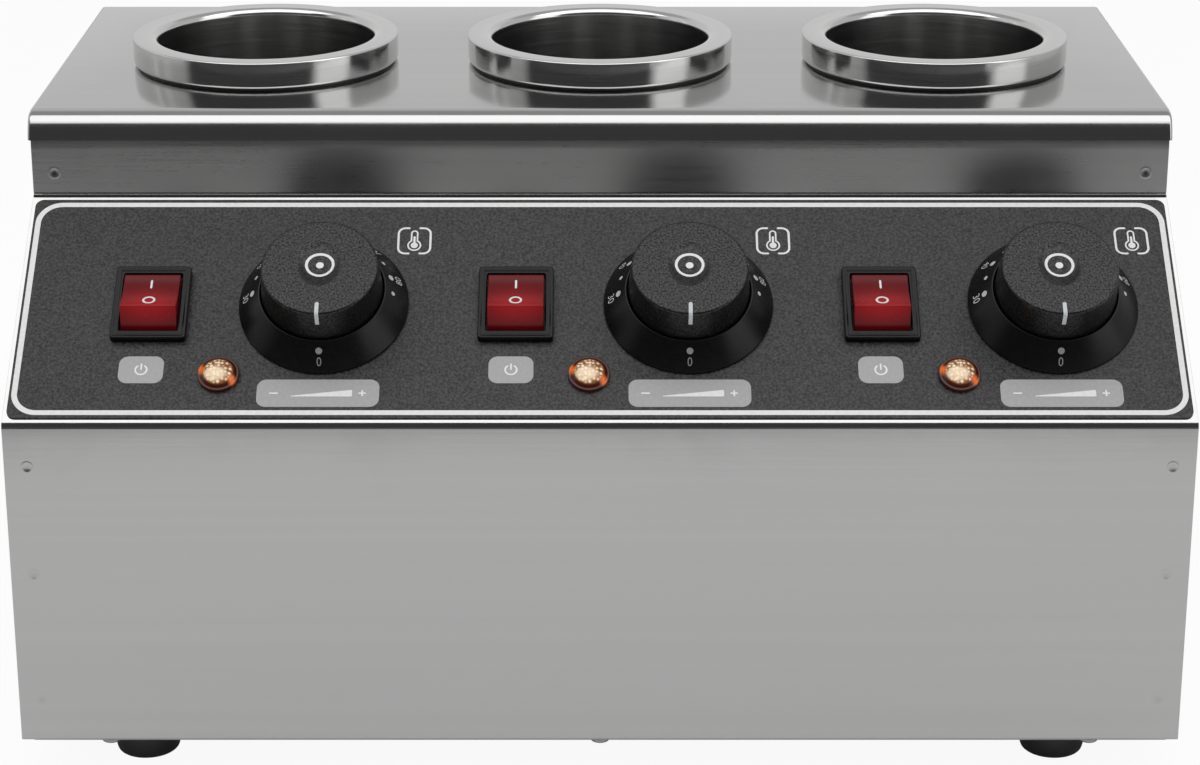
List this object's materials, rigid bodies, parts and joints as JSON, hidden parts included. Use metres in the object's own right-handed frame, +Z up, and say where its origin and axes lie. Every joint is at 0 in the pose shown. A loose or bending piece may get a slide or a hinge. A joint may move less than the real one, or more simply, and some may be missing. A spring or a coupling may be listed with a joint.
{
  "type": "hot fudge topping warmer",
  "caption": "Counter-top warmer for sauce bottles: stainless cabinet with round heated wells in the deck and a sloped panel of rocker switches, lamps and dials.",
  "frame": {"origin": "on the counter, under the middle of the whole warmer's box", "axes": "+X to the right along the row of wells, +Y from the control panel to the back, +Z up"},
  "size_m": [0.402, 0.2658, 0.227],
  "materials": {
    "brushed_steel": "brushed sheet, grain along the width",
    "drawn_steel": "drawn and turned, satin with brighter rims",
    "plated_steel": "zinc plated",
    "overlay_film": "fine textured dark film",
    "black_plastic": "moulded, satin",
    "knob_plastic": "moulded, textured top",
    "red_plastic": "translucent red",
    "amber_plastic": "translucent amber",
    "black_rubber": "moulded rubber",
    "white_ceramic": "unglazed",
    "heater_jacket": "rolled jacket",
    "copper": "drawn tube",
    "wire_sleeve": "woven sleeve"
  },
  "bodies": {
    "housing": {"top_deck": "brushed_steel", "front_shell": "brushed_steel", "left_side_panel": "brushed_steel", "right_side_panel": "brushed_steel", "back_panel": "brushed_steel", "bottom_plate": "plated_steel", "control_overlay": "overlay_film", "cable_gland": "black_plastic", "gland_locknut": "black_plastic", "terminal_block": "white_ceramic", "wiring_loom": "wire_sleeve", "front_left_plate_screw": "plated_steel", "front_middle_plate_screw": "plated_steel", "front_right_plate_screw": "plated_steel", "rear_left_plate_screw": "plated_steel", "rear_right_plate_screw": "plated_steel", "front_left_foot": "black_rubber", "front_left_foot_screw": "plated_steel", "front_right_foot": "black_rubber", "front_right_foot_screw": "plated_steel", "rear_left_foot": "black_rubber", "rear_left_foot_screw": "plated_steel", "rear_right_foot": "black_rubber", "rear_right_foot_screw": "plated_steel", "left_well": "drawn_steel", "left_well_gasket": "black_rubber", "left_heater_band": "heater_jacket", "left_sensor_bulb": "copper", "left_switch_housing": "black_plastic", "left_lamp_lens": "amber_plastic", "left_lamp_clip": "black_plastic", "left_dial_ring": "black_plastic", "left_thermostat": "plated_steel", "centre_well": "drawn_steel", "centre_well_gasket": "black_rubber", "centre_heater_band": "heater_jacket", "centre_sensor_bulb": "copper", "centre_switch_housing": "black_plastic", "centre_lamp_lens": "amber_plastic", "centre_lamp_clip": "black_plastic", "centre_dial_ring": "black_plastic", "centre_thermostat": "plated_steel", "right_well": "drawn_steel", "right_well_gasket": "black_rubber", "right_heater_band": "heater_jacket", "right_sensor_bulb": "copper", "right_switch_housing": "black_plastic", "right_lamp_lens": "amber_plastic", "right_lamp_clip": "black_plastic", "right_dial_ring": "black_plastic", "right_thermostat": "plated_steel"},
    "left_knob_body": {"left_knob": "knob_plastic", "left_thermostat_shaft": "plated_steel"},
    "left_rocker_body": {"left_rocker": "red_plastic"},
    "centre_knob_body": {"centre_knob": "knob_plastic", "centre_thermostat_shaft": "plated_steel"},
    "centre_rocker_body": {"centre_rocker": "red_plastic"},
    "right_knob_body": {"right_knob": "knob_plastic", "right_thermostat_shaft": "plated_steel"},
    "right_rocker_body": {"right_rocker": "red_plastic"}
  },
  "joints": [
    {"name": "left_knob_turn", "type": "hinge", "parent": "housing", "child": "left_knob_body", "pos_m": [-0.0947, -0.09292, 0.15898], "axis": [0, 0.5735, -0.8192], "range_deg": [0, 260]},
    {"name": "left_rocker_tip", "type": "hinge", "parent": "housing", "child": "left_rocker_body", "pos_m": [-0.1538, -0.0917, 0.15654], "axis": [1, 0, 0], "range_deg": [0, 28]},
    {"name": "centre_knob_turn", "type": "hinge", "parent": "housing", "child": "centre_knob_body", "pos_m": [0.0303, -0.09292, 0.15898], "axis": [0, 0.5735, -0.8192], "range_deg": [0, 260]},
    {"name": "centre_rocker_tip", "type": "hinge", "parent": "housing", "child": "centre_rocker_body", "pos_m": [-0.0288, -0.0917, 0.15654], "axis": [1, 0, 0], "range_deg": [0, 28]},
    {"name": "right_knob_turn", "type": "hinge", "parent": "housing", "child": "right_knob_body", "pos_m": [0.1553, -0.09292, 0.15898], "axis": [0, 0.5735, -0.8192], "range_deg": [0, 260]},
    {"name": "right_rocker_tip", "type": "hinge", "parent": "housing", "child": "right_rocker_body", "pos_m": [0.0962, -0.0917, 0.15654], "axis": [1, 0, 0], "range_deg": [0, 28]}
  ]
}
